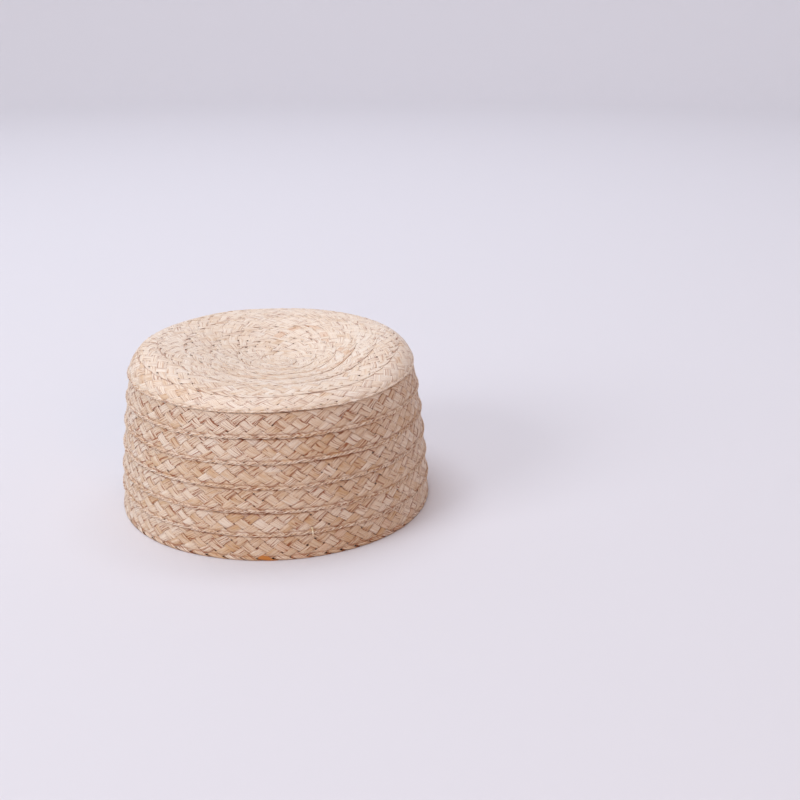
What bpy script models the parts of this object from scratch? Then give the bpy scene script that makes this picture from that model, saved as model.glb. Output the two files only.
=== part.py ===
# Brimless pork pie hat, sewn from one long flat straw plait that winds in a spiral
# from the middle of the tip to the rim. Each turn's outer edge lies over the next turn.
# Metres, +Z up. The rim stands on z = 0 round the origin, and the front faces -Y.

import math

import bmesh
import bpy

# Crown, measured over the outside
RIM_RADIUS = 0.092
TOP_RADIUS = 0.0833
CROWN_HEIGHT = 0.0965
SIDE_BULGE = 0.001
SHOULDER_RADIUS = 0.0166
DISH_DEPTH = 0.0122

# Dent that presses the crown's edge down at the front, as shares of the shoulder radius
DENT_DEPTH_SHARE = 0.5
DENT_SPREAD_SHARE = 0.3
DENT_AZIMUTH = math.radians(285)
DENT_FULL_ANGLE = math.radians(18)
DENT_END_ANGLE = math.radians(88)

# The spiral's middle lies a little right of and in front of the crown's, as shares of the top radius
SWIRL_RIGHT_SHARE = 0.105
SWIRL_FRONT_SHARE = 0.048

# Plait
PLAIT_THICKNESS = 0.0013
PIECE_GAP = 0.0003
ROW_OVERLAP = 0.006
RIDGE_HEIGHT = 0.0005
RIDGE_WIDTH = 0.003

# Spiral: FIRST_EDGE is the distance from the middle to the nearest edge line at the front
FIRST_EDGE = 0.010
EDGE_ROW_EXTRA = 0.0012
TURNS = 12
TIP_TURNS = 6
SIDE_SLANT = 0.6
JOG_START = 0.8
TAIL_END = 0.97

# Facets
STATIONS = 50
ROUND_MIDS = 1
SHOULDER_MIDS = 3
SHARP_ANGLE = math.radians(38)

# Lengths along the crown's profile, from the middle of the tip to the rim
TIP_RADIUS = TOP_RADIUS - SHOULDER_RADIUS
TIP_LENGTH = TIP_RADIUS * (1.0 + (math.pi * DISH_DEPTH / (4.0 * TIP_RADIUS)) ** 2)
SHOULDER_LENGTH = SHOULDER_RADIUS * math.pi / 2.0
SIDE_HEIGHT = CROWN_HEIGHT - SHOULDER_RADIUS
SIDE_LENGTH = math.hypot(SIDE_HEIGHT, RIM_RADIUS - TOP_RADIUS)
CROWN_LENGTH = TIP_LENGTH + SHOULDER_LENGTH + SIDE_LENGTH

# Turns of plait: a turn counts from the back seam, and the front is half a turn on
FRONT_TURN = 0.5
ROW_PITCH = (CROWN_LENGTH - FIRST_EDGE - EDGE_ROW_EXTRA) / TURNS
ROW_STEP = PLAIT_THICKNESS + PIECE_GAP
CENTRE_SHIFT = ROW_STEP / 4.0
START_TURN = FRONT_TURN - FIRST_EDGE / ROW_PITCH
SLANT_TURNS = (TIP_TURNS - 0.5, TIP_TURNS + 1.0, TURNS - 1.5, TURNS)
SLANT_SHARES = (1.0, SIDE_SLANT, SIDE_SLANT, 0.0)

STRAW_COLOUR = (0.604, 0.434, 0.319)
TIP_SHADE = 1.12
STRAW_ROUGHNESS = 0.8


def remove_scene_objects():
    for item in list(bpy.data.objects):
        bpy.data.objects.remove(item, do_unlink=True)


def smooth_step(value):
    value = min(max(value, 0.0), 1.0)
    return value * value * (3.0 - 2.0 * value)


def table_value(position, positions, values):
    # straight lines between the rows of a short table
    if position <= positions[0]:
        return values[0]
    for index in range(1, len(positions)):
        if position <= positions[index]:
            share = (position - positions[index - 1]) / (positions[index] - positions[index - 1])
            return values[index - 1] + share * (values[index] - values[index - 1])
    return values[-1]


def dent_share(azimuth):
    # 1 in the middle of the front dent, 0 outside it
    away = abs(math.remainder(azimuth - DENT_AZIMUTH, 2.0 * math.pi))
    return smooth_step((DENT_END_ANGLE - away) / (DENT_END_ANGLE - DENT_FULL_ANGLE))


def crown_point(azimuth, distance, level):
    # distance follows the profile out from the middle of the tip, level is the height off the outside;
    # the turns step outward from end to start, so the shift brings the rim's middle back to the origin
    dent = dent_share(azimuth)
    shoulder_wide = SHOULDER_RADIUS * (1.0 + DENT_SPREAD_SHARE * dent)
    shoulder_high = SHOULDER_RADIUS * (1.0 - DENT_DEPTH_SHARE * dent)
    edge_height = SIDE_HEIGHT + shoulder_high
    if distance < TIP_LENGTH:
        share = distance / TIP_LENGTH
        lean = 0.0
        radius = (TOP_RADIUS - shoulder_wide) * share
        bottom = CROWN_HEIGHT - DISH_DEPTH
        height = bottom + (edge_height - bottom) * 0.5 * (1.0 - math.cos(math.pi * share))
        off_middle = TOP_RADIUS * (1.0 - share)
    else:
        lean = min((distance - TIP_LENGTH) / SHOULDER_RADIUS, math.pi / 2.0)
        below = max(distance - TIP_LENGTH - SHOULDER_LENGTH, 0.0) / SIDE_LENGTH
        swell = 4.0 * SIDE_BULGE * below * (1.0 - below)
        radius = TOP_RADIUS - shoulder_wide * (1.0 - math.sin(lean))
        radius += (RIM_RADIUS - TOP_RADIUS) * below + swell
        height = edge_height - shoulder_high * (1.0 - math.cos(lean)) - SIDE_HEIGHT * below
        off_middle = 0.0
    radius += level * math.sin(lean)
    height += level * math.cos(lean)
    return (radius * math.cos(azimuth) + SWIRL_RIGHT_SHARE * off_middle - CENTRE_SHIFT,
            radius * math.sin(azimuth) - SWIRL_FRONT_SHARE * off_middle - CENTRE_SHIFT,
            height)


def edge_line(turn):
    # distance of the plait's outer edge: it winds outward, and a jog at the back evens it out
    if turn >= TURNS:
        return CROWN_LENGTH
    whole = math.floor(turn)
    share = turn - whole
    slant = table_value(turn, SLANT_TURNS, SLANT_SHARES)
    jog = smooth_step((share - JOG_START) / (1.0 - JOG_START))
    line = FIRST_EDGE + ROW_PITCH * (whole + slant * (share - FRONT_TURN) + (1.0 - slant) * jog)
    if whole == TURNS - 1:
        line += EDGE_ROW_EXTRA * jog
    return line


def row_level(turn, distance):
    # every row leans, so that its outer edge clears the next row's inner edge by the gap
    return ROW_STEP / ROW_PITCH * (distance - FIRST_EDGE - ROW_PITCH * (turn - FRONT_TURN))


def straw_point(turn, distance, raised):
    azimuth = math.pi / 2.0 - 2.0 * math.pi * turn
    return crown_point(azimuth, distance, row_level(turn, distance) + raised)


def between(first, last, count):
    return [first + (last - first) * (index + 1) / (count + 1) for index in range(count)]


def ridge_distance(inner, outer):
    return outer - min(RIDGE_WIDTH / 2.0, (outer - inner) * 0.3)


def round_section(turn, mids, laps_next):
    # closed outline across the plait: over the top to the outer edge, and back underneath
    lap = edge_line(turn - 1.0)
    inner = lap - ROW_OVERLAP
    outer = edge_line(turn)
    ridge = ridge_distance(lap, outer)
    foot = outer - ROW_OVERLAP if laps_next else outer
    over = [inner, lap] + between(lap, ridge, mids)
    under = between(lap, foot, mids)[::-1] + [inner]
    if laps_next:
        under = [foot] + under
    points = [straw_point(turn, distance, 0.0) for distance in over]
    points.append(straw_point(turn, ridge, RIDGE_HEIGHT))
    points.append(straw_point(turn, outer, 0.0))
    points += [straw_point(turn, distance, -PLAIT_THICKNESS) for distance in [outer] + under]
    return points


def add_strip(shape, first, second, closed):
    # quads between two matching rows of vertices
    count = len(first)
    for index in range(count if closed else count - 1):
        after = (index + 1) % count
        shape.faces.new((first[index], first[after], second[after], second[index]))


def finish_piece(shape, name, shade):
    bmesh.ops.recalc_face_normals(shape, faces=shape.faces)
    mesh = bpy.data.meshes.new(name)
    shape.to_mesh(mesh)
    shape.free()
    mesh.shade_smooth()
    mesh.set_sharp_from_angle(angle=SHARP_ANGLE)
    mesh.materials.append(straw_material(name, shade))
    piece = bpy.data.objects.new(name, mesh)
    bpy.context.scene.collection.objects.link(piece)
    return piece


def straw_material(name, shade):
    material = bpy.data.materials.new(name + "_straw")
    material.use_nodes = True
    shader = material.node_tree.nodes["Principled BSDF"]
    shader.inputs["Base Color"].default_value = [value * shade for value in STRAW_COLOUR] + [1.0]
    shader.inputs["Roughness"].default_value = STRAW_ROUGHNESS
    shader.inputs["Metallic"].default_value = 0.0
    return material


def build_round(name, first_turn, last_turn, mids, laps_next):
    # one turn of plait, whose ends are square to the spiral
    inside = [station / STATIONS for station in range(round(STATIONS * first_turn) + 1,
                                                      math.ceil(STATIONS * last_turn))]
    start_gap = PIECE_GAP / (2.0 * math.pi * TOP_RADIUS)
    turns = [first_turn + start_gap] + inside + [last_turn]
    shape = bmesh.new()
    sections = []
    for turn in turns:
        sections.append([shape.verts.new(point) for point in round_section(turn, mids, laps_next)])
    for first, second in zip(sections, sections[1:]):
        add_strip(shape, first, second, closed=True)
    shape.faces.new(sections[0])
    shape.faces.new(sections[-1])
    return finish_piece(shape, name, 1.0)


class SpiralSheet:
    # one side of the tip: treads that wind outward, with a small riser down to each next turn

    def __init__(self, shape, raised, edge_back, middle_level, tread):
        self.shape = shape
        self.raised = raised
        self.edge_back = edge_back
        self.tread = tread
        self.middle = shape.verts.new(crown_point(0.0, 0.0, middle_level))
        self.starts = math.ceil(STATIONS * self.turn_at(ROW_PITCH * 0.15))
        self.ends = STATIONS * TIP_TURNS
        self.rows = {}
        for station in range(self.starts, self.ends + 1):
            self.rows[station] = self.tread_row(station)

    def turn_at(self, distance):
        return START_TURN + (distance + self.edge_back) / ROW_PITCH

    def line(self, turn):
        return edge_line(turn) - self.edge_back

    def tread_row(self, station):
        # vertices across one tread; the first turn's treads all begin at the middle
        turn = station / STATIONS
        has_inner = station >= self.starts + STATIONS
        inner = self.line(turn - 1.0) if has_inner else 0.0
        outer = self.line(turn)
        row = []
        if has_inner:
            row.append(self.shape.verts.new(straw_point(turn, inner, self.raised)))
        else:
            row.append(self.middle)
        for distance, lift in self.tread(inner, outer):
            row.append(self.shape.verts.new(straw_point(turn, distance, self.raised + lift)))
        return row

    def add_faces(self, riser_split):
        # riser_split is the vertex that the outer wall puts into the last riser's end, if any
        for station in range(self.starts, self.ends):
            first, second = self.rows[station], self.rows[station + 1]
            ring = [first[0]] if first[0] is second[0] else [first[0], second[0]]
            self.shape.faces.new(ring + [second[1], first[1]])
            add_strip(self.shape, first[1:], second[1:], closed=False)
        self.shape.faces.new(self.rows[self.starts] + [self.rows[self.starts + STATIONS][0]])
        for station in range(self.starts, self.ends - STATIONS):
            high = [self.rows[station][-1], self.rows[station + 1][-1]]
            low = [self.rows[station + STATIONS][0], self.rows[station + STATIONS + 1][0]]
            is_last = station == self.ends - STATIONS - 1
            extra = [riser_split] if is_last and riser_split else []
            self.shape.faces.new([high[0], high[1]] + extra + [low[1], low[0]])


def top_tread(inner, outer):
    ridge = ridge_distance(inner, outer)
    return [((inner + ridge) / 2.0, 0.0), (ridge, RIDGE_HEIGHT), (outer, 0.0)]


def under_tread(inner, outer):
    return [((inner + outer) / 2.0, 0.0), (outer, 0.0)]


def build_tip():
    # the first turns of the spiral, sewn into one dished disc that steps down at each edge line
    shape = bmesh.new()
    middle_level = -ROW_STEP / 2.0
    top = SpiralSheet(shape, 0.0, 0.0, middle_level, top_tread)
    under = SpiralSheet(shape, -PLAIT_THICKNESS, ROW_OVERLAP,
                        middle_level - PLAIT_THICKNESS - ROW_STEP / 2.0, under_tread)
    last_round = range(STATIONS * (TIP_TURNS - 1), STATIONS * TIP_TURNS + 1)
    under_edge = []
    for station in last_round:
        turn = station / STATIONS
        under_edge.append(shape.verts.new(straw_point(turn, edge_line(turn), -PLAIT_THICKNESS)))
    top.add_faces(under_edge[0])
    under.add_faces(None)
    top_edge = [top.rows[station][-1] for station in last_round]
    foot_edge = [under.rows[station][-1] for station in last_round]
    add_strip(shape, top_edge, under_edge, closed=False)
    add_strip(shape, foot_edge, under_edge, closed=False)
    top_end = top.rows[last_round[-1]]
    under_end = under.rows[last_round[-1]]
    shape.faces.new(top_end + [under_edge[-1]] + under_end[::-1] + [foot_edge[0], under_edge[0]])
    return finish_piece(shape, "tip", TIP_SHADE)


def build_hat():
    build_tip()
    build_round("shoulder_round", TIP_TURNS, TIP_TURNS + 1, SHOULDER_MIDS, True)
    for number, turn in enumerate(range(TIP_TURNS + 1, TURNS), start=1):
        build_round("side_round_%d" % number, turn, turn + 1, ROUND_MIDS, True)
    build_round("edge_round", TURNS, TURNS + TAIL_END, ROUND_MIDS, False)


remove_scene_objects()
build_hat()
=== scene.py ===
import math

import bpy
import numpy as np
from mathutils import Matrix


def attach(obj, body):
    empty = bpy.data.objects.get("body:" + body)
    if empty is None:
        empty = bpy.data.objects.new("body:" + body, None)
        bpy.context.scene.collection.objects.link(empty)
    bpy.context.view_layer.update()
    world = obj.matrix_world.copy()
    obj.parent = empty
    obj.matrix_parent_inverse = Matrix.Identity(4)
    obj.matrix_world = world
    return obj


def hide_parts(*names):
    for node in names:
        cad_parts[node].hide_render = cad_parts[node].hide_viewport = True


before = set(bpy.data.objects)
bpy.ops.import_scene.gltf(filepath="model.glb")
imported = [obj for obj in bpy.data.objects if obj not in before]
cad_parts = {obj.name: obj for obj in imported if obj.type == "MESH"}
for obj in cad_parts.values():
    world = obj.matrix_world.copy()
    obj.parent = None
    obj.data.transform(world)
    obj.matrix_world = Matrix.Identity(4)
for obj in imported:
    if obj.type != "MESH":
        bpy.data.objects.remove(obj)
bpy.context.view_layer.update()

# Brimless pork pie hat of straw: seven flat strands of split palm leaf are plaited into a band, and
# the band is sewn in a spiral from the middle of the tip to the rim. Every strand is real geometry.
# Metres and radians, and wavelengths of noise are metres too. The hat stands on z = 0 and its front
# faces -Y.

mm = 0.001

# The crown's outside, as the solids have it
crown = {
    "rimRadius": 92.0 * mm,
    "topRadius": 83.3 * mm,
    "height": 96.5 * mm,
    "sideBulge": 1.0 * mm,
    "shoulderRadius": 16.6 * mm,
    "dishDepth": 12.2 * mm,
    "dentDepthShare": 0.5,             # of the shoulder radius, and so is the spread
    "dentSpreadShare": 0.3,
    "dentAzimuth": math.radians(285),
    "dentFullAngle": math.radians(18),
    "dentEndAngle": math.radians(88),
    "swirlRightShare": 0.105,          # of the top radius
    "swirlFrontShare": 0.048,
}

# How the band winds, counted in turns from the back
spiral = {
    "turns": 12,
    "tipTurns": 6,
    "frontTurn": 0.5,
    "firstEdge": 10.0 * mm,
    "edgeRowExtra": 1.2 * mm,
    "centreShift": 0.4 * mm,
    "bandDepth": 0.9 * mm,
    "tipStep": 0.10 * mm,              # how far each row's outer edge stands off the row beyond it
    "sideStep": 0.65 * mm,
    "diveDepth": 0.95 * mm,            # how far a row's inner part drops under the row before it
    "tipDiveBefore": 0.1 * mm,
    "sideDiveBefore": 0.7 * mm,
    "diveLength": 1.8 * mm,
    "slantTurns": (4.0, 7.5, 10.5, 12.0),
    "sideSlant": 0.12,                 # the rows lie nearly level in front and step down at the back
    "jogStart": 0.7,
    "edgeShift": 2.1 * mm,             # how far the side rows hang over the joints of the solids
    "shiftLead": 0.1,
    "shiftRise": 1.6,
    "shiftFall": 0.85,
    "sideFrom": 0.35,                  # turns after the tip where the look of the sides begins
    "sideReach": 0.9,
    "stepFrom": 0.5,                   # and where the deeper steps between rows begin
    "ridgeFrom": -0.4,                 # and the ridges along their edges
    "rimRate": 1.2,                    # the last row straightens in one part in so many of a turn
    "bandStart": -0.10,
    "leastEdge": 0.5 * mm,             # radius of the band's edge where it starts in the middle
    "leastCoil": 6.0 * mm,             # radius that the band's length is measured on there, or more
    "tightCoil": 30.0 * mm,            # below this radius the inner edge is gathered up
    "startDrop": 1.1 * mm,             # the cut end at the start goes down through the straw
    "startTurns": 0.22,
    "startFlatness": 2.2,              # the weave is flattened where the coil is narrower than the band
    "tailEnd": 12.97,
    "marginBefore": 0.35,              # the table of lengths goes on a little past both ends
    "marginAfter": 0.03,
    "stepsPerTurn": 720.0,
}


def smoothStep(value):
    # 3v^2 - 2v^3 between 0 and 1
    value = np.clip(value, 0.0, 1.0)
    return value * value * (3.0 - 2.0 * value)


def crownLengths():
    # arc lengths along the profile: the tip's half cosine, near enough as its run times one and a
    # squared share of its slope, the quarter round shoulder, and the straight side
    tipRadius = crown["topRadius"] - crown["shoulderRadius"]
    tip = tipRadius * (1.0 + (math.pi * crown["dishDepth"] / (4.0 * tipRadius)) ** 2)
    shoulder = crown["shoulderRadius"] * math.pi / 2.0
    sideHeight = crown["height"] - crown["shoulderRadius"]
    side = math.hypot(sideHeight, crown["rimRadius"] - crown["topRadius"])
    return tip, shoulder, side


tipLength, shoulderLength, sideLength = crownLengths()
crownLength = tipLength + shoulderLength + sideLength
rowPitch = (crownLength - spiral["firstEdge"] - spiral["edgeRowExtra"]) / spiral["turns"]


def crownSurface(azimuth, distance, level):
    # a point from its azimuth, its distance along the profile from the middle, and its level off the
    # outside: the tip is half a cosine wave, the shoulder a quarter of an ellipse, the side a straight
    # line with a parabola's swell, and the front dent makes the shoulder lower and wider
    away = np.abs((azimuth - crown["dentAzimuth"] + math.pi) % (2.0 * math.pi) - math.pi)
    dent = smoothStep((crown["dentEndAngle"] - away) / (crown["dentEndAngle"] - crown["dentFullAngle"]))
    wide = crown["shoulderRadius"] * (1.0 + crown["dentSpreadShare"] * dent)
    high = crown["shoulderRadius"] * (1.0 - crown["dentDepthShare"] * dent)
    sideHeight = crown["height"] - crown["shoulderRadius"]
    bottom = crown["height"] - crown["dishDepth"]
    share = np.clip(distance / tipLength, 0.0, 1.0)
    lean = np.clip((distance - tipLength) / crown["shoulderRadius"], 0.0, math.pi / 2.0)
    below = np.maximum(distance - tipLength - shoulderLength, 0.0) / sideLength
    radius = (crown["topRadius"] - wide) * share + wide * np.sin(lean)
    radius += (crown["rimRadius"] - crown["topRadius"]) * below
    radius += 4.0 * crown["sideBulge"] * below * (1.0 - below) + level * np.sin(lean)
    height = bottom + (sideHeight + high - bottom) * 0.5 * (1.0 - np.cos(math.pi * share))
    height += level * np.cos(lean) - high * (1.0 - np.cos(lean)) - sideHeight * below
    offMiddle = crown["topRadius"] * (1.0 - share)
    shift = spiral["centreShift"]
    return np.stack([
        radius * np.cos(azimuth) + crown["swirlRightShare"] * offMiddle - shift,
        radius * np.sin(azimuth) - crown["swirlFrontShare"] * offMiddle - shift,
        height,
    ], axis=-1)


def edgeLine(turn):
    # distance of the band's outer edge from the middle: a steady part of each turn's pitch, a smooth
    # jog at the back for the rest, and on the sides a shift down
    whole = np.floor(turn)
    share = turn - whole
    last = spiral["turns"]
    slant = np.interp(turn, spiral["slantTurns"], (1.0, spiral["sideSlant"], spiral["sideSlant"], 0.0))
    jog = smoothStep((share - spiral["jogStart"]) / (1.0 - spiral["jogStart"]))
    line = whole + slant * (share - spiral["frontTurn"]) + (1.0 - slant) * jog
    line = spiral["firstEdge"] + rowPitch * line
    line += np.where(whole == last - 1, spiral["edgeRowExtra"] * jog, 0.0)
    rise = smoothStep((turn - spiral["tipTurns"] + spiral["shiftLead"]) / spiral["shiftRise"])
    line += spiral["edgeShift"] * rise * smoothStep((last - turn) / spiral["shiftFall"])
    return np.where(turn >= last, crownLength, line)


def shareOnSide(turn):
    # 0 on the tip and the front of the shoulder, 1 on the sides
    return smoothStep((turn - spiral["tipTurns"] - spiral["sideFrom"]) / spiral["sideReach"])


def softNoise(position, lane, waves, seed):
    # a sum of sines of the given wavelengths, with its own phases in each lane; about -1 to 1
    lanes, evenness = 64, 1.4
    phases = np.random.default_rng(seed).uniform(0.0, 2.0 * math.pi, (lanes, len(waves)))
    total = np.zeros(np.broadcast(position, lane).shape)
    for index, wave in enumerate(waves):
        total += np.sin(2.0 * math.pi * position / wave + phases[lane % lanes, index])
    return total / math.sqrt(len(waves) * evenness)


# The band: what a plaiter would set
band = {
    "strands": 7,
    "width": 22.2 * mm,                # as laid out, before its edges are pulled tight
    "strandSpacing": 9.4 * mm,         # along the band, between strands that lie the same way
    "fill": 0.945,                     # strand width as a share of the room it has
    "strandDepth": 0.24 * mm,
    "layerHeight": 0.115 * mm,         # of a strand's middle above or below the band's middle
    "foldRadius": 0.42 * mm,
    "foldTurn": 1.57,                  # a quarter turn, and then the strand flattens over the reach
    "foldFlattening": 1.8 * mm,
    "foldStations": (0.0, 0.34, 0.68, 1.0, 1.7),   # of the fold's length
    "crossings": (1, 0, 1, 0, 1, 0),   # 1 where the strand that leaves the outer edge lies on top
    "changeLength": 0.56,              # of the way from one crossing to the next
    "underFrom": -0.05,                # how low in the weave the straw begins to look shaded
    "underReach": 0.5,
    "doming": 0.05 * mm,
    "creasing": 0.12 * mm,             # one side of a strand higher than the other
    "pull": 2.2 * mm,                  # how far each edge is pulled in
    "pullReach": 2.2 * mm,
    "edgeRidge": 0.25 * mm,            # the swell under the selvage cord
    "ridgeFrom": 1.20 * mm,
    "ridgeReach": 0.85 * mm,
    "edgeDrop": 0.60 * mm,
    "edgeDropReach": 0.35 * mm,
    "rimContactShade": 0.45 * mm,              # painted contact shadow: the dark line along the rim's lowest edge reaches this much higher
    "groove": 0.28 * mm,               # between the selvage and the rest of the row
    "grooveFrom": 2.6 * mm,
    "grooveReach": 0.6 * mm,
    # painted shade in the groove, as a share of the seam colour
    "grooveShade": 0.75,
    "creaseShade": 0.9,                # painted shade where a row meets the edge above it
    "creaseReach": 0.9 * mm,
    "creaseEnd": 3.0,                  # reaches under that edge, so that the inside stays pale
    "tipCreaseShare": 0.25,            # fainter painted shade in the creases in the middle of the tip
    "tipCreaseTurn": 4.4,
    "tipCreaseReach": 0.6,
    "tipRidgeShare": 0.15,             # the tip is pressed flatter than the sides
    "tipRelief": 0.50,
    "foldBunching": 0.24,              # how much narrower a strand is where it folds over
    "bunchReach": 3.4 * mm,
    "bunchSpread": 0.7,
    "stationStep": 0.83 * mm,
    "sideways": 0.40 * mm,             # wander of each strand's place, width and height
    "widthSpread": 0.11,
    "heightSpread": 0.06 * mm,
    "edgeWander": 0.42 * mm,           # wander of the row's edge, the weave and the crown's surface
    "slackWander": 1.2 * mm,
    "surfaceWander": 0.30 * mm,
    "surfaceWave": 31.0 * mm,
    "mapGap": 10.0 * mm,               # between the strands' places on their map
}
# A strand's ring is a thin lens of ten points: shares of its width, and of half its depth
ringShares = np.array([-0.5, -0.44, -0.15, 0.15, 0.44, 0.5, 0.44, 0.15, -0.15, -0.44])
ringSides = np.array([0.0, 0.85, 1.0, 1.0, 0.85, 0.0, -0.85, -1.0, -1.0, -0.85])
strandAngle = math.atan(2.0 * band["width"] / band["strands"] / band["strandSpacing"])
sewnWidth = band["width"] - 2.0 * band["pull"]


def bandTable():
    # length along the band against turns, measured on a line at a third of its width, and nearer to
    # the outer edge where the coil is tight
    turns = np.arange(
        spiral["bandStart"] - spiral["marginBefore"], spiral["tailEnd"] + spiral["marginAfter"],
        1.0 / spiral["stepsPerTurn"])
    edge = edgeLine(turns)
    line = edge - sewnWidth / 3.0 * smoothStep(edge / spiral["tightCoil"])
    line = np.maximum(line, spiral["leastCoil"])
    points = crownSurface(math.pi / 2.0 - 2.0 * math.pi * turns, line, 0.0)
    steps = np.linalg.norm(np.diff(points, axis=0), axis=1)
    return turns, np.concatenate([[0.0], np.cumsum(steps)])


tableTurns, tableLengths = bandTable()


def bandPoint(along, across, height):
    # carries the flat band onto the crown: along becomes turns, and across is measured inward from the
    # outer edge. A row sinks a little toward the row before it, and then dives under its edge; the
    # ridge, the edge's drop and the groove are bell curves of the distance across.
    # Gives the points, and the painted shade that each gets in the creases between rows, along the
    # band's outer edge and in the groove.
    turn = np.interp(along, tableLengths, tableTurns)
    lane = np.zeros(np.shape(along), int)
    outer = np.maximum(edgeLine(turn), spiral["leastEdge"])
    shown = outer - edgeLine(turn - 1.0)
    atRim = smoothStep((turn - spiral["turns"] + 1.0) * spiral["rimRate"])
    wander = softNoise(along, lane, (0.061, 0.103, 0.171), 5) * band["edgeWander"] * (1.0 - atRim)
    reach = np.minimum(sewnWidth, outer - spiral["leastEdge"] / 2.0)
    distance = outer - (across + wander) * reach / sewnWidth
    distance = np.minimum(distance, crownLength)
    inward = outer - distance
    tucked = np.maximum(1.0 - shown / rowPitch, 0.0)
    sideShare = smoothStep(turn - spiral["tipTurns"] - spiral["stepFrom"])
    step = spiral["tipStep"] + (spiral["sideStep"] - spiral["tipStep"]) * sideShare
    early = spiral["tipDiveBefore"] + (spiral["sideDiveBefore"] - spiral["tipDiveBefore"]) * sideShare
    early = early + tucked * spiral["diveLength"]
    ridge = band["edgeRidge"] * np.exp(-((across - band["ridgeFrom"]) / band["ridgeReach"]) ** 2)
    ridge -= band["edgeDrop"] * np.exp(-across / band["edgeDropReach"])
    grooveLine = np.exp(-((across - band["grooveFrom"]) / band["grooveReach"]) ** 2)
    ridge -= band["groove"] * grooveLine
    ridgeShare = smoothStep(turn - spiral["tipTurns"] - spiral["ridgeFrom"])
    ridgeShare = band["tipRidgeShare"] + (1.0 - band["tipRidgeShare"]) * ridgeShare
    dive = smoothStep((inward - shown + early) / spiral["diveLength"])
    dive = dive * smoothStep((turn - 1.0 - spiral["bandStart"]) / spiral["startTurns"])
    start = 1.0 - smoothStep((turn - spiral["bandStart"]) / spiral["startTurns"])
    level = -step * (inward / rowPitch + tucked) - spiral["diveDepth"] * dive
    level = level - spiral["startDrop"] * start
    azimuth = math.pi / 2.0 - 2.0 * math.pi * turn
    sway = softNoise(azimuth / (2.0 * math.pi), lane, (1.0 / 3, 1.0 / 5, 1.0 / 8), 11)
    sway *= np.sin(distance / band["surfaceWave"]) * band["surfaceWander"]
    height = (height + ridge * ridgeShare) * smoothStep(spiral["startFlatness"] * reach / sewnWidth)
    height = height - spiral["bandDepth"] / 2.0
    # painted shade: darker where the row dives under the edge above it, along the row's own outer edge,
    # wider at the rim, and in the groove
    past = (inward - shown) / band["creaseReach"]
    crease = smoothStep(past + 1.0) * smoothStep(band["creaseEnd"] - past)
    edgeReach = band["edgeDropReach"] + band["rimContactShade"] * atRim
    crease = np.maximum(crease, np.exp(-np.maximum(across, 0.0) / edgeReach))
    fullCrease = smoothStep((turn - band["tipCreaseTurn"]) / band["tipCreaseReach"])
    creaseShare = band["tipCreaseShare"] + (1.0 - band["tipCreaseShare"]) * fullCrease
    crease = crease * band["creaseShade"] * creaseShare
    crease = np.maximum(crease, grooveLine * band["grooveShade"] * ridgeShare)
    return crownSurface(azimuth, distance, level + height + sway), crease


def halfStations():
    # distances across the band for one way over: close together in the folds, even between them
    foldLength = band["foldRadius"] * math.pi / 2.0
    near = foldLength * np.array(band["foldStations"])
    count = round((band["width"] - 2.0 * near[-1]) / band["stationStep"])
    middle = np.linspace(near[-1], band["width"] - near[-1], count + 1)[1:-1]
    return np.concatenate([near, middle, band["width"] - near[:0:-1]])


def overUnder(crossing):
    # 1 over and -1 under at whole crossings, with a smooth change half way between them
    values = 2.0 * np.array(band["crossings"], float) - 1.0
    crossing = np.clip(crossing, 0.0, len(values) - 1.0)
    low = np.minimum(np.floor(crossing).astype(int), len(values) - 2)
    blend = smoothStep((crossing - low - 0.5) / band["changeLength"] + 0.5)
    return values[low] + (values[low + 1] - values[low]) * blend


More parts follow.
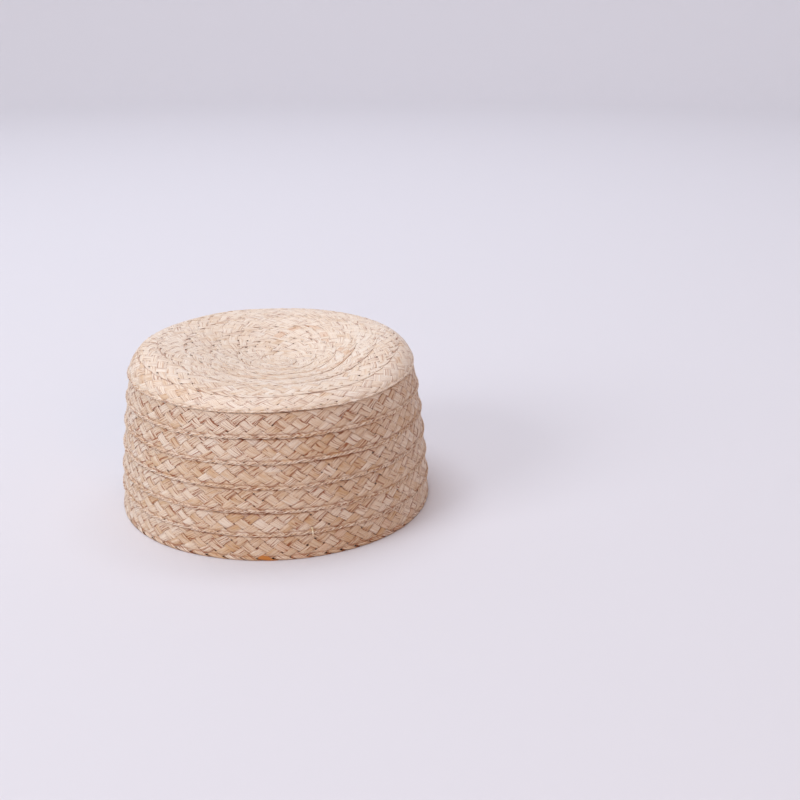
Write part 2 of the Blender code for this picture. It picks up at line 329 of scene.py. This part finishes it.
def strandSurface(strand, stations, middles):
    # one flat strand that zigzags from edge to edge of the band. Across the band it follows a triangle
    # wave with half round folds, its height is the over-under wave, and its ring is a thin lens.
    # Gives each point's place along, across and above the band, and the painted shade where it dips
    # under another.
    width = band["width"]
    unfolded = stations[:, None]
    shares = ringShares[None, :]
    wayIndex = np.floor(unfolded / width)
    goingUp = wayIndex % 2 == 0
    along = np.where(goingUp, unfolded - wayIndex * width, width - (unfolded - wayIndex * width))
    fromFold = np.minimum(along, width - along)
    atOuter = along < width / 2.0
    fold = band["foldRadius"]
    turned = np.minimum(fromFold / fold, math.pi / 2.0)
    inward = np.where(fromFold > fold * math.pi / 2.0,
                      fromFold - (math.pi / 2.0 - 1.0) * fold, fold * (1.0 - np.cos(turned)))
    across = np.where(atOuter, inward, width - inward)

    crossing = along * band["strands"] / width - 1.0 + np.where(goingUp, -shares, shares)
    layer = overUnder(crossing) * np.where(goingUp, 1.0, -1.0)
    swell = fold / band["layerHeight"] - 1.0
    flat = smoothStep((fromFold - fold * band["foldTurn"]) / band["foldFlattening"])
    opening = np.sin(turned) * (1.0 + swell * (1.0 - flat))
    lane = np.full(stations.shape, strand)[:, None]
    lift = softNoise(unfolded, lane, (0.011, 0.019, 0.037), 21) * band["heightSpread"] * np.sin(turned)
    dome = band["doming"] * (2.0 * shares) ** 2
    crease = softNoise(unfolded, lane, (0.013, 0.031, 0.07), 27) * band["creasing"] * shares
    turns = np.interp(middles, tableLengths, tableTurns)[:, None]
    relief = band["tipRelief"] + (1.0 - band["tipRelief"]) * shareOnSide(turns)
    layers = layer * opening * band["layerHeight"]
    height = (layers + lift + (crease - dome) * np.sin(turned)) * relief
    pulled = 1.0 - np.exp(-across / band["pullReach"]) + np.exp((across - width) / band["pullReach"])
    across = across - band["pull"] * pulled

    # the ring's thin direction turns over in each fold
    side = ringSides[None, :] * band["strandDepth"] / 2.0
    outward = np.where(atOuter, 1.0, -1.0)
    wayUp = np.where(goingUp, 1.0, -1.0)
    across = across - side * np.cos(turned) * outward
    across = across + dome * np.cos(turned) * outward + band["strandDepth"] / 2.0
    height = height + side * np.sin(turned) * wayUp

    room = band["strandSpacing"] * band["fill"]
    room = room * (1.0 + band["widthSpread"] * softNoise(unfolded, lane, (0.023, 0.058, 0.13), 33))
    bunching = softNoise(unfolded, lane, (0.051, 0.083), 61)
    bunching = band["foldBunching"] * (1.0 + band["bunchSpread"] * bunching)
    room = room * (1.0 - bunching * np.exp(-(fromFold / band["bunchReach"]) ** 2))
    position = strand * band["strandSpacing"] + unfolded / math.tan(strandAngle)
    position = position + softNoise(unfolded, lane, (0.017, 0.043, 0.09), 45) * band["sideways"]
    position = position - shares * room
    position = position + softNoise(position, lane * 0, (0.067, 0.131, 0.24), 57) * band["slackWander"]
    # painted shade on the parts of a strand that lie under another
    facing = np.sign(ringSides)[None, :] * wayUp
    sunken = band["underFrom"] - layer * facing * np.sin(turned)
    sunken = np.clip(sunken / band["underReach"], 0.0, 1.0)
    return position, across, height, np.broadcast_to(sunken, across.shape)


def strandTable(strand):
    # stations of the whole strand, and where its middle is along the band
    way = halfStations()
    spare = 0.1
    ways = math.ceil((tableLengths[-1] + spare) * math.tan(strandAngle) / band["width"]) + 3
    stations = (np.arange(-2, ways)[:, None] * band["width"] + way[None, :]).ravel()
    middles = strand * band["strandSpacing"] + stations / math.tan(strandAngle)
    return stations, middles


print("stage: plait worked out")


def addMesh(name, points, faces, maps=None, tints=None):
    # one object from arrays: quads as rows of four, and any caps as longer lists
    mesh = bpy.data.meshes.new(name)
    mesh.from_pydata(points.reshape(-1, 3), [], faces)
    mesh.update()
    corners = np.zeros(len(mesh.loops), np.int32)
    mesh.loops.foreach_get("vertex_index", corners)
    if maps is not None:
        layer = mesh.uv_layers.new(name="strandMap")
        layer.data.foreach_set("uv", maps.reshape(-1, 2)[corners].ravel().astype(np.float32))
    if tints is not None:
        layer = mesh.attributes.new("strawTint", "FLOAT_COLOR", "POINT")
        layer.data.foreach_set("color", tints.reshape(-1, 4).ravel().astype(np.float32))
    mesh.shade_smooth()
    piece = bpy.data.objects.new(name, mesh)
    bpy.context.scene.collection.objects.link(piece)
    return piece


def tubeFaces(rows, ring, first):
    # quads round a tube, row by row, and a cap at each end; all face outward
    rowStarts = first + np.arange(rows - 1)[:, None] * ring
    start = rowStarts + np.arange(ring)[None, :]
    after = rowStarts + (np.arange(ring)[None, :] + 1) % ring
    quads = np.stack([start, after, after + ring, start + ring], axis=-1).reshape(-1, 4).tolist()
    lastRing = first + (rows - 1) * ring
    caps = [list(range(first + ring - 1, first - 1, -1)), list(range(lastRing, lastRing + ring))]
    return quads + caps


# Tone of the straw: most strands are pale, a few are browner, and some spots are sunburnt; the painted
# shade in the weave is set here too
strawTones = {
    "spread": 0.085,                   # standard deviation from strand to strand
    "tipSpread": 0.05,
    "leaves": 4096,
    "waysPerLeaf": 5.0,                # a new leaf is laid in after so many ways across the band
    "leafStagger": 0.37,
    "wander": 0.07,                    # along one leaf
    "fleckReach": (0.017, 0.043, 0.11),   # wavelengths of the patches on the tip where the weave's painted shade is stronger
    "fleckMiddle": 0.55,
    "fleckSpread": 0.75,
    "fleckLeast": 0.12,
    "sideEvenness": 0.75,
    "rareAbove": 2.5,                  # standard deviations
    "rareMost": 0.25,
    "patches": ((12.494, 1.0), (12.735, 0.8), (11.12, 0.35), (9.05, 0.3)),   # turn and strength
    "patchStart": 1.5 * mm,
    "patchEnd": 7.5 * mm,
    "patchFade": 3.0 * mm,
    "edgeShares": (0.40, 0.44, 0.50),  # painted shade along the strands' edges, in the seams between them, against ringShares
    "edgeDepths": (0.0, 0.12, 1.0),
}


def strandTints(strand, stations, middles, sunken):
    # red: tone of the strand, green: sunburn, blue: painted shade deep in the weave, in the creases and
    # along the strands' edges,
    # alpha: 0 on the tip and 1 on the sides
    leaves = strawTones["leaves"]
    leafNumbers = stations / band["width"] / strawTones["waysPerLeaf"]
    leafNumbers = np.floor(leafNumbers + strand * strawTones["leafStagger"]).astype(int)
    picks = np.random.default_rng(71).normal(0.0, 1.0, (band["strands"], leaves))
    turns = np.interp(middles, tableLengths, tableTurns)
    onSide = shareOnSide(turns)
    spread = strawTones["tipSpread"] + (strawTones["spread"] - strawTones["tipSpread"]) * onSide
    tone = 0.5 + spread * picks[strand, leafNumbers % leaves]
    lane = np.full(stations.shape, strand)
    tone = tone + strawTones["wander"] * softNoise(stations, lane, (0.02, 0.06), 83)
    burnt = picks[strand, (leafNumbers + leaves // 2) % leaves] - strawTones["rareAbove"]
    burnt = np.clip(burnt, 0.0, strawTones["rareMost"])
    for turn, strength in strawTones["patches"]:
        spot = np.interp(turn, tableTurns, tableLengths)
        folds = 2.0 * band["width"] / math.tan(strandAngle)
        shift = (spot - strand * band["strandSpacing"]) / folds
        if abs(shift - round(shift)) * folds < band["strandSpacing"] / 2.0:
            fromFold = stations - round(shift) * 2.0 * band["width"]
            near = smoothStep((fromFold + strawTones["patchStart"]) / strawTones["patchStart"])
            near = near * smoothStep((strawTones["patchEnd"] - fromFold) / strawTones["patchFade"])
            burnt = np.maximum(burnt, near * strength)
    tints = np.zeros((len(stations), len(ringShares), 4))
    tints[..., 0] = np.clip(tone, 0.0, 1.0)[:, None]
    tints[..., 1] = np.clip(burnt, 0.0, 1.0)[:, None]
    # painted shade along the strands' edges and deep in the weave: in patches on the tip, more even on
    # the sides
    edges = np.interp(np.abs(ringShares), strawTones["edgeShares"], strawTones["edgeDepths"])
    depth = np.maximum(edges[None, :], sunken)
    flecked = softNoise(middles, lane, strawTones["fleckReach"], 97)
    patchy = strawTones["fleckMiddle"] + strawTones["fleckSpread"] * flecked
    patchy = np.clip(patchy, strawTones["fleckLeast"], 1.0)
    tints[..., 2] = depth * (patchy + (1.0 - patchy) * strawTones["sideEvenness"] * onSide)[:, None]
    tints[..., 3] = onSide[:, None]
    return tints


def plaitPiece(name, firstTurn, lastTurn, nodes):
    # all seven strands between two turns; the next piece takes each strand up at the same station
    limits = np.interp([firstTurn, lastTurn], tableTurns, tableLengths)
    points, maps, tints, faces, total = [], [], [], [], 0
    for strand in range(band["strands"]):
        stations, middles = strandTable(strand)
        low, high = np.searchsorted(middles, limits)
        stations, middles = stations[low:high + 1], middles[low:high + 1]
        position, across, height, sunken = strandSurface(strand, stations, middles)
        places, creaseShades = bandPoint(position, across, height)
        points.append(places.reshape(-1, 3))
        lengthwise = np.broadcast_to(stations[:, None] / math.sin(strandAngle), across.shape)
        crosswise = ringShares * band["strandSpacing"] * math.sin(strandAngle) + strand * band["mapGap"]
        crosswise = np.broadcast_to(crosswise, across.shape)
        maps.append(np.stack([lengthwise, crosswise], axis=-1).reshape(-1, 2))
        # painted shade deep in the weave and in the creases between rows
        paintedShade = np.maximum(sunken, creaseShades)
        tints.append(strandTints(strand, stations, middles, paintedShade).reshape(-1, 4))
        faces += tubeFaces(len(stations), len(ringShares), total)
        total += len(stations) * len(ringShares)
    piece = addMesh(name, np.concatenate(points), faces, np.concatenate(maps), np.concatenate(tints))
    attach(piece, "root")
    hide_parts(*nodes)
    return piece


# The selvage: the folds of each row are pulled into a thin two-ply cord along its outer edge
selvage = {
    "plies": 2,
    "pitch": 5.4 * mm,
    "plyRadius": 0.40 * mm,
    "offset": 0.34 * mm,
    "across": 1.20 * mm,
    "height": 0.24 * mm,
    "wander": 0.16 * mm,
    "slip": 1.7,                       # radians that the twist runs ahead or behind
    "plySpread": 0.20,
    "tone": 0.54,
    "toneSpread": 0.15,
    "touchFrom": 0.12,                 # painted shade: the plies are darkest where they touch
    "touchGain": 1.3,
    "tipTouch": 0.3,
    "girth": 2.5 * mm,                 # as laid out on its map, and so are the next two
    "mapStretch": 1.1,
    "mapGap": 7.0 * mm,
    "sideFrom": 0.05,
    "sideReach": 0.6,
    "tipShare": 0.30,                  # thinner and sunk into the straw on the tip
    "sink": 0.35 * mm,
    "firstTurn": 3.6,
    "lastTurn": 12.0,
    "fadeTurns": (1.2, 0.08),          # at the start and at the end
    "step": 1.0 * mm,
    "ring": 6,
}


def selvageCord():
    # two round plies that wind round each other along the band: each is a circle whose middle goes
    # round a smaller circle once a pitch
    limits = np.interp([selvage["firstTurn"], selvage["lastTurn"]], tableTurns, tableLengths)
    middles = np.arange(limits[0], limits[1], selvage["step"])
    along = np.repeat(middles[:, None], selvage["ring"], axis=1)
    turns = np.interp(along, tableLengths, tableTurns)
    onSide = smoothStep((turns - spiral["tipTurns"] - selvage["sideFrom"]) / selvage["sideReach"])
    size = selvage["tipShare"] + (1.0 - selvage["tipShare"]) * onSide
    fade = smoothStep((turns - selvage["firstTurn"]) / selvage["fadeTurns"][0])
    fade = fade * smoothStep((selvage["lastTurn"] - turns) / selvage["fadeTurns"][1])
    lane = np.zeros(along.shape, int)
    slip = selvage["slip"] * softNoise(along, lane, (0.013, 0.029, 0.071), 103)
    aside = selvage["across"] + selvage["wander"] * softNoise(along, lane, (0.011, 0.023, 0.052), 107)
    angles = -np.arange(selvage["ring"]) * 2.0 * math.pi / selvage["ring"]
    points, maps, tints, faces, total = [], [], [], [], 0
    for ply in range(selvage["plies"]):
        phase = 2.0 * math.pi * (along / selvage["pitch"] + ply / selvage["plies"]) + slip
        thickness = softNoise(along, lane + ply, (0.009, 0.021, 0.047), 109)
        radius = selvage["plyRadius"] * (1.0 + selvage["plySpread"] * thickness)
        across = aside + size * (selvage["offset"] * np.cos(phase) + radius * np.cos(angles))
        height = size * (selvage["offset"] * np.sin(phase) + radius * np.sin(angles))
        height = height + selvage["height"] * size - selvage["sink"] * (1.0 - size * fade)
        points.append(bandPoint(along, across, height)[0].reshape(-1, 3))
        lengthwise = along * selvage["mapStretch"]
        crosswise = angles / (2.0 * math.pi) * selvage["girth"] + ply * selvage["mapGap"]
        maps.append(np.stack(np.broadcast_arrays(lengthwise, crosswise), axis=-1).reshape(-1, 2))
        tint = np.zeros((len(middles), selvage["ring"], 4))
        toneWave = softNoise(along, lane + ply, (0.03, 0.07, 0.16), 113)
        tint[..., 0] = selvage["tone"] + selvage["toneSpread"] * toneWave
        # painted shade in the crevice where the plies touch
        touching = selvage["touchFrom"] - selvage["touchGain"] * np.cos(angles - phase)
        touching = np.clip(touching, 0.0, 1.0)
        tint[..., 2] = touching * (selvage["tipTouch"] + (1.0 - selvage["tipTouch"]) * onSide)
        tint[..., 3] = onSide
        tints.append(tint.reshape(-1, 4))
        faces += tubeFaces(len(middles), selvage["ring"], total)
        total += len(middles) * selvage["ring"]
    cord = addMesh(
        "selvage_cord", np.concatenate(points), faces, np.concatenate(maps), np.concatenate(tints))
    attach(cord, "root")
    return cord


plaitPieces = [plaitPiece("tip_plait", spiral["bandStart"], spiral["tipTurns"], ["tip"])]
roundNames = ["shoulder_round"] + ["side_round_%d" % number for number in range(1, 6)] + ["edge_round"]
for index, roundName in enumerate(roundNames):
    startTurn = spiral["tipTurns"] + index
    endTurn = min(startTurn + 1, spiral["tailEnd"])
    plaitPieces.append(plaitPiece(roundName + "_plait", startTurn, endTurn, [roundName]))
plaitPieces.append(selvageCord())
print("stage: strands plaited,", sum(len(piece.data.polygons) for piece in plaitPieces), "faces")


# The sewing: one straw-coloured cotton thread, in and out just above each row's selvage
sewing = {
    "pitch": 6.4 * mm,
    "stitch": 3.0 * mm,
    "inward": 3.0 * mm,
    "slant": 0.35 * mm,
    "radius": 0.13 * mm,
    "height": 0.30 * mm,
    "sink": 0.45 * mm,
    "firstTurn": 0.9,
    "lastTurn": 12.55,
    "pitchWander": 0.7 * mm,
    "inwardWander": 0.35 * mm,
    "stations": 7,
    "ring": 5,
}
# Fibres that have come loose: turn, distance in from the row's outer edge, direction (0 runs down and
# a quarter turn runs along), length, how far the end lifts, and radius
looseFibres = (
    (12.451, 17.4 * mm, 0.06, 4.4 * mm, 1.3 * mm, 0.50 * mm),
    (6.71, 1.0 * mm, 1.1, 5.0 * mm, 1.4 * mm, 0.14 * mm),
    (7.43, 0.8 * mm, -0.9, 3.6 * mm, 1.0 * mm, 0.12 * mm),
    (8.62, 1.2 * mm, 0.8, 4.4 * mm, 1.3 * mm, 0.13 * mm),
    (9.37, 2.2 * mm, 1.3, 5.5 * mm, 0.9 * mm, 0.12 * mm),
    (9.93, 0.9 * mm, -1.2, 4.8 * mm, 1.5 * mm, 0.13 * mm),
    (10.58, 1.4 * mm, 0.5, 3.2 * mm, 1.0 * mm, 0.13 * mm),
    (11.24, 0.9 * mm, 1.0, 4.0 * mm, 1.2 * mm, 0.12 * mm),
    (11.66, 3.0 * mm, -0.6, 3.8 * mm, 0.8 * mm, 0.14 * mm),
    (12.12, 4.4 * mm, 1.2, 4.6 * mm, 1.1 * mm, 0.12 * mm),
    (12.83, 5.0 * mm, -1.0, 5.2 * mm, 1.2 * mm, 0.13 * mm),
    (5.36, 1.0 * mm, 1.2, 4.2 * mm, 1.3 * mm, 0.12 * mm),
    (3.81, 1.1 * mm, -1.1, 3.4 * mm, 0.9 * mm, 0.12 * mm),
    (1.27, 0.8 * mm, 0.9, 3.0 * mm, 0.9 * mm, 0.12 * mm),
)


def threadTubes(name, paths, radii, ring, material):
    # round threads: each path gets a circle at every station, in the plane square to the path
    ahead = np.gradient(paths, axis=1)
    ahead /= np.linalg.norm(ahead, axis=2, keepdims=True)
    outward = paths * (1.0, 1.0, 0.0) + (0.0, 0.0, 0.05)
    side = np.cross(ahead, outward)
    side /= np.linalg.norm(side, axis=2, keepdims=True)
    above = np.cross(side, ahead)
    turns = -np.arange(ring) * 2.0 * math.pi / ring
    across = np.cos(turns)[None, None, :, None] * side[:, :, None, :]
    across = across + np.sin(turns)[None, None, :, None] * above[:, :, None, :]
    points = paths[:, :, None, :] + across * radii[:, :, None, None]
    count, stations = paths.shape[:2]
    faces = []
    for index in range(count):
        faces += tubeFaces(stations, ring, index * stations * ring)
    piece = addMesh(name, points, faces)
    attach(piece, "root")
    piece.data.materials.append(material)
    return piece


def stitchPaths():
    # short arches along the band: straight on the map of the band, and as high as one less the fourth
    # power of the distance from the middle, so that both ends sink into the straw
    first = np.interp(sewing["firstTurn"], tableTurns, tableLengths)
    last = np.interp(sewing["lastTurn"], tableTurns, tableLengths)
    starts = np.arange(first, last, sewing["pitch"])[:, None]
    lane = np.zeros(starts.shape, int)
    starts = starts + softNoise(starts, lane, (0.019, 0.033), 91) * sewing["pitchWander"]
    share = np.linspace(0.0, 1.0, sewing["stations"])[None, :]
    along = starts + sewing["stitch"] * share
    across = sewing["inward"] + sewing["slant"] * (share - 0.5) * 2.0
    across = across + softNoise(starts, lane, (0.027, 0.045), 93) * sewing["inwardWander"]
    arch = 1.0 - (2.0 * share - 1.0) ** 4
    height = sewing["height"] - sewing["sink"] * (1.0 - arch)
    return bandPoint(along, across, np.broadcast_to(height, along.shape))[0]


def fibrePaths():
    # each fibre starts in the straw, leaves at its own angle with a slight wave, and lifts with its
    # length to the power one and a half
    stations, rootDepth, liftFree, taper = 9, 0.3 * mm, 0.5 * mm, 0.65
    waveHeight, waveTurn, leastRadius = 0.25 * mm, 4.0, 8.0 * mm
    values = np.array(looseFibres)[:, :, None]
    turn, inward, angle, length, lift, radius = (values[:, index] for index in range(6))
    share = np.linspace(0.0, 1.0, stations)[None, :]
    down = length * share * np.cos(angle)
    sideways = length * share * np.sin(angle) + waveHeight * np.sin(share * waveTurn)
    distance = edgeLine(turn) - inward + down
    around = np.maximum(np.minimum(distance, crown["rimRadius"]), leastRadius)
    azimuth = math.pi / 2.0 - 2.0 * math.pi * turn + sideways / around
    level = -rootDepth + (liftFree + lift) * share ** 1.5
    paths = crownSurface(azimuth, np.minimum(distance, crownLength), level)
    return paths, radius * (1.0 - taper * share)


def srgb(code):
    # a hex colour as linear red, green, blue and full alpha
    values = np.array([int(code[index:index + 2], 16) for index in (1, 3, 5)]) / 255.0
    linear = np.where(values <= 0.04045, values / 12.92, ((values + 0.055) / 1.055) ** 2.4)
    return (*linear.tolist(), 1.0)


def addNode(tree, kind, links=None, **settings):
    # a shader node with its settings; links name an input and the socket or value that it takes
    node = tree.nodes.new(kind)
    for key, value in settings.items():
        setattr(node, key, value)
    for key, value in (links or {}).items():
        if isinstance(value, bpy.types.NodeSocket):
            tree.links.new(value, node.inputs[key])
        else:
            node.inputs[key].default_value = value
    return node


def newMaterial(name):
    material = bpy.data.materials.new(name)
    material.use_nodes = True
    tree = material.node_tree
    return material, tree, tree.nodes["Principled BSDF"]


def stretchedNoise(tree, leafMap, scale, detail, roughness):
    # noise on the strands' own map, stretched along them by its scale
    scaled = addNode(tree, "ShaderNodeMapping", {"Vector": leafMap.outputs["UV"], "Scale": scale})
    noise = addNode(tree, "ShaderNodeTexNoise", {
        "Vector": scaled.outputs["Vector"], "Scale": 1.0, "Detail": detail, "Roughness": roughness})
    return noise.outputs["Fac"]


def maths(tree, operation, *values):
    # one step of arithmetic on numbers or sockets
    return addNode(tree, "ShaderNodeMath", dict(enumerate(values)), operation=operation).outputs[0]


def toward(tree, under, factor, code):
    # the colour under, turned toward a hex colour by a factor
    return addNode(tree, "ShaderNodeMix", {
        "Factor": factor, "A": under, "B": srgb(code)}, data_type="RGBA").outputs["Result"]


def ranged(tree, value, low, high, atLow, atHigh):
    # a value's range from low to high, carried to another range and clamped there
    return addNode(tree, "ShaderNodeMapRange", {
        "Value": value, "From Min": low, "From Max": high, "To Min": atLow, "To Max": atHigh,
    }).outputs["Result"]


# Split palm leaf, dried and bleached in the sun. It is matt and pale, so the plait is read by the warm
# painted shade in the thin seams round each strand and by the fine ribs along it, and a raking light
# gives it a dry sheen.
leaf = {
    "pale": "#EDE5D8",
    "common": "#E5D4BE",
    "deep": "#CBA77E",
    "rib": "#CA9E70",
    # warm painted shade for the seams and creases, and also the colour of the hairline splits
    "seam": "#8B430A",
    "sunburnt": "#C07B3A",
    "toneStops": (0.12, 0.42, 0.92),   # where the deep, common and pale tones lie
    "sideShift": 0.14,                 # painted shade: the sides are a little deeper in tone than the tip, which faces the light
    # share of the painted shade in the seams, and of the splits, on the tip
    "tipSeams": 0.70,
    "seamFrom": 0.28,                  # where the painted shade begins, of the depth in the weave
    "seamShare": 0.95,
    "ribWidth": 0.40 * mm,
    "ribLength": 26.0 * mm,
    "ribFrom": 0.50,
    "ribTo": 0.72,
    "ribShare": 0.7,
    "ribHeight": 0.16 * mm,
    "ribBump": 0.7,
    "splitWidth": 1.3 * mm,            # hairline splits along the strands
    "splitLength": 40.0 * mm,
    "splitFrom": 0.008,
    "splitTo": 0.024,
    "splitShare": 0.85,
    "blotch": 6.0 * mm,
    "blotchShare": 0.55,
    "roughness": 0.55,
    "sheen": 0.05,
    "gloss": 0.28,
}


def palmLeafMaterial():
    # the ribs run along each strand on its own map, and give both their brown lines and the bump; the
    # splits are thin bands where a stretched noise passes its middle; the painted shade of the seams
    # comes with the mesh
    material, tree, shader = newMaterial("bleached_split_palm_leaf")
    tint = addNode(tree, "ShaderNodeAttribute", attribute_name="strawTint")
    onSide = tint.outputs["Alpha"]
    parts = addNode(tree, "ShaderNodeSeparateColor", {"Color": tint.outputs["Color"]})
    tone, burnt, depth = parts.outputs[0], parts.outputs[1], parts.outputs[2]
    leafMap = addNode(tree, "ShaderNodeUVMap", uv_map="strandMap")
    ribScale = (1.0 / leaf["ribLength"], 1.0 / leaf["ribWidth"], 1.0)
    ribs = stretchedNoise(tree, leafMap, ribScale, 2.0, 0.6)
    blotchScale = (1.0 / leaf["blotch"], 2.5 / leaf["blotch"], 1.0)
    blotches = stretchedNoise(tree, leafMap, blotchScale, 3.0, 0.55)
    splitScale = (1.0 / leaf["splitLength"], 1.0 / leaf["splitWidth"], 1.0)
    splits = stretchedNoise(tree, leafMap, splitScale, 1.0, 0.5)

    blotched = maths(tree, "MULTIPLY_ADD", blotches, leaf["blotchShare"], -leaf["blotchShare"] / 2.0)
    toned = maths(tree, "ADD", tone, blotched)
    # painted shade: the sides turned deeper in tone than the tip
    sideTone = maths(tree, "MULTIPLY_ADD", onSide, -leaf["sideShift"], toned)
    ramp = addNode(tree, "ShaderNodeValToRGB", {"Fac": sideTone})
    stops = ramp.color_ramp.elements
    stops[0].position, stops[0].color = leaf["toneStops"][0], srgb(leaf["deep"])
    stops[1].position, stops[1].color = leaf["toneStops"][2], srgb(leaf["pale"])
    stops.new(leaf["toneStops"][1]).color = srgb(leaf["common"])

    ribMask = ranged(tree, ribs, leaf["ribFrom"], leaf["ribTo"], 0.0, leaf["ribShare"])
    colour = toward(tree, ramp.outputs["Color"], ribMask, leaf["rib"])
    seamShare = ranged(tree, onSide, 0.0, 1.0, leaf["tipSeams"], 1.0)
    fromSplit = maths(tree, "ABSOLUTE", maths(tree, "SUBTRACT", splits, 0.5))
    splitMask = ranged(tree, fromSplit, leaf["splitFrom"], leaf["splitTo"], leaf["splitShare"], 0.0)
    colour = toward(tree, colour, maths(tree, "MULTIPLY", splitMask, seamShare), leaf["seam"])
    # painted shade in the seams, creases and groove, from the mesh's depth channel
    seamMask = ranged(tree, depth, leaf["seamFrom"], 1.0, 0.0, leaf["seamShare"])
    colour = toward(tree, colour, maths(tree, "MULTIPLY", seamMask, seamShare), leaf["seam"])
    colour = toward(tree, colour, burnt, leaf["sunburnt"])
    bump = addNode(tree, "ShaderNodeBump", {
        "Height": ribs, "Strength": leaf["ribBump"], "Distance": leaf["ribHeight"]})
    tree.links.new(colour, shader.inputs["Base Color"])
    tree.links.new(bump.outputs["Normal"], shader.inputs["Normal"])
    shader.inputs["Roughness"].default_value = leaf["roughness"]
    shader.inputs["Sheen Weight"].default_value = leaf["sheen"]
    shader.inputs["Specular IOR Level"].default_value = leaf["gloss"]
    return material


def plainMaterial(name, colour, roughness, grain, scale):
    # one colour that turns to its grain's colour and back with a fine noise on the piece itself
    grainFrom, grainTo = 0.35, 0.62
    material, tree, shader = newMaterial(name)
    place = addNode(tree, "ShaderNodeTexCoord")
    noise = addNode(tree, "ShaderNodeTexNoise", {
        "Vector": place.outputs["Object"], "Scale": scale, "Detail": 2.0})
    ramp = addNode(tree, "ShaderNodeValToRGB", {"Fac": noise.outputs["Fac"]})
    stops = ramp.color_ramp.elements
    stops[0].position, stops[0].color = grainFrom, srgb(grain)
    stops[1].position, stops[1].color = grainTo, srgb(colour)
    tree.links.new(ramp.outputs["Color"], shader.inputs["Base Color"])
    shader.inputs["Roughness"].default_value = roughness
    return material


# Cotton drawn through wax: soft and even, close to the straw, so that the stitches hardly show
cottonThread = plainMaterial("waxed_cotton_thread", "#E9D7BE", 0.7, "#CDB08A", 900.0)
# Fibre split off the leaf's pale inside: it stands out pale against the painted shade of the seams
splitFibre = plainMaterial("split_leaf_fibre", "#FBF2D8", 0.6, "#E6D0A4", 600.0)
stitchPoints = stitchPaths()
stitchRadii = np.full(stitchPoints.shape[:2], sewing["radius"])
threadTubes("sewing_thread", stitchPoints, stitchRadii, sewing["ring"], cottonThread)
threadTubes("loose_fibres", *fibrePaths(), sewing["ring"], splitFibre)
print("stage:", len(stitchPoints), "stitches sewn")

palmLeaf = palmLeafMaterial()
for piece in plaitPieces:
    piece.data.materials.append(palmLeaf)
print("stage: palm leaf finished")


# The room: a round floor of matt paper that bends up into a wall all round, so that every view has
# the same pale ground, with soft lights over and around it
studio = {
    "paper": "#D8D5D6",
    "roughness": 0.9,
    "floorRings": (0.4, 1.4),
    "floorRadius": 2.6,
    "bend": 1.4,
    "bendStations": 24,
    "rise": 3.4,
    "sides": 96,
    "air": "#F4F3FA",
    "airStrength": 0.37,
}
lamps = {
    "overhead_softbox": {
        "place": (-0.6, -0.1, 3.0), "target": (0.0, 0.0, 0.0), "size": (1.5, 1.5),
        "power": 45.0, "colour": "#E8F0FF"},
    "left_softbox": {
        "place": (-2.0, -1.5, 1.4), "target": (0.0, 0.0, 0.05), "size": (1.4, 1.2),
        "power": 36.5, "colour": "#F1F5FF"},
    "warm_front_softbox": {
        "place": (1.2, -2.6, 1.6), "target": (0.0, 0.0, 0.05), "size": (1.4, 1.0),
        "power": 15.0, "colour": "#FFB26A"},
    "wall_softbox": {
        "place": (0.0, 1.2, 3.2), "target": (0.0, 3.4, 0.6), "size": (3.0, 1.6),
        "power": 53.0, "colour": "#EDEFFF"},
}


def paperSweep():
    # a profile turned round the middle: a flat disc, a quarter round and a straight wall
    bendAngles = np.linspace(0.0, math.pi / 2.0, studio["bendStations"])
    radii = studio["floorRadius"] + studio["bend"] * np.sin(bendAngles)
    heights = studio["bend"] * (1.0 - np.cos(bendAngles))
    radii = np.concatenate([studio["floorRings"], radii, [radii[-1]]])
    heights = np.concatenate([[0.0, 0.0], heights, [studio["rise"]]])
    around = np.arange(studio["sides"]) * 2.0 * math.pi / studio["sides"]
    points = np.stack([
        radii[:, None] * np.cos(around), radii[:, None] * np.sin(around),
        np.broadcast_to(heights[:, None], (len(radii), studio["sides"]))], axis=-1)
    faces = tubeFaces(len(radii), studio["sides"], 0)[:-1]
    sweep = addMesh("paper_sweep", points, faces)
    # uncoated paper: it mirrors nothing, so only the soft shadow shows on it
    material, _, shader = newMaterial("matt_studio_paper")
    shader.inputs["Base Color"].default_value = srgb(studio["paper"])
    shader.inputs["Roughness"].default_value = studio["roughness"]
    sweep.data.materials.append(material)


def softLight(name, place, target, size, power, colour):
    # a rectangle of light that faces its target, and that the camera doesn't see
    light = bpy.data.lights.new(name, "AREA")
    light.shape = "RECTANGLE"
    light.size, light.size_y = size
    light.energy = power
    light.color = srgb(colour)[:3]
    lamp = bpy.data.objects.new(name, light)
    bpy.context.scene.collection.objects.link(lamp)
    lamp.location = place
    lamp.visible_camera = False
    away = np.array(target) - np.array(place)
    lamp.rotation_euler = (math.acos(-away[2] / np.linalg.norm(away)), 0.0,
                           math.atan2(away[1], away[0]) - math.pi / 2.0)


paperSweep()
for lampName, lampSettings in lamps.items():
    softLight(lampName, **lampSettings)
world = bpy.data.worlds.new("studio_air")
world.use_nodes = True
background = world.node_tree.nodes["Background"]
background.inputs["Color"].default_value = srgb(studio["air"])
background.inputs["Strength"].default_value = studio["airStrength"]
bpy.context.scene.world = world
bpy.context.scene.view_settings.view_transform = "Standard"

# The photograph's view: a 50 mm lens, 20 degrees down
viewpoint = {
    "place": (0.0741, -0.6216, 0.2832),
    "down": 0.3472,
    "lens": 50.0,                      # millimetres, as the sensor's width is
    "sensor": 36.0,
}


def addCamera():
    camera = bpy.data.objects.new("camera", bpy.data.cameras.new("camera"))
    camera.data.lens = viewpoint["lens"]
    camera.data.sensor_width = viewpoint["sensor"]
    camera.location = viewpoint["place"]
    camera.rotation_euler = (math.pi / 2.0 - viewpoint["down"], 0.0, 0.0)
    bpy.context.scene.collection.objects.link(camera)
    bpy.context.scene.camera = camera


addCamera()
print("stage: studio ready")
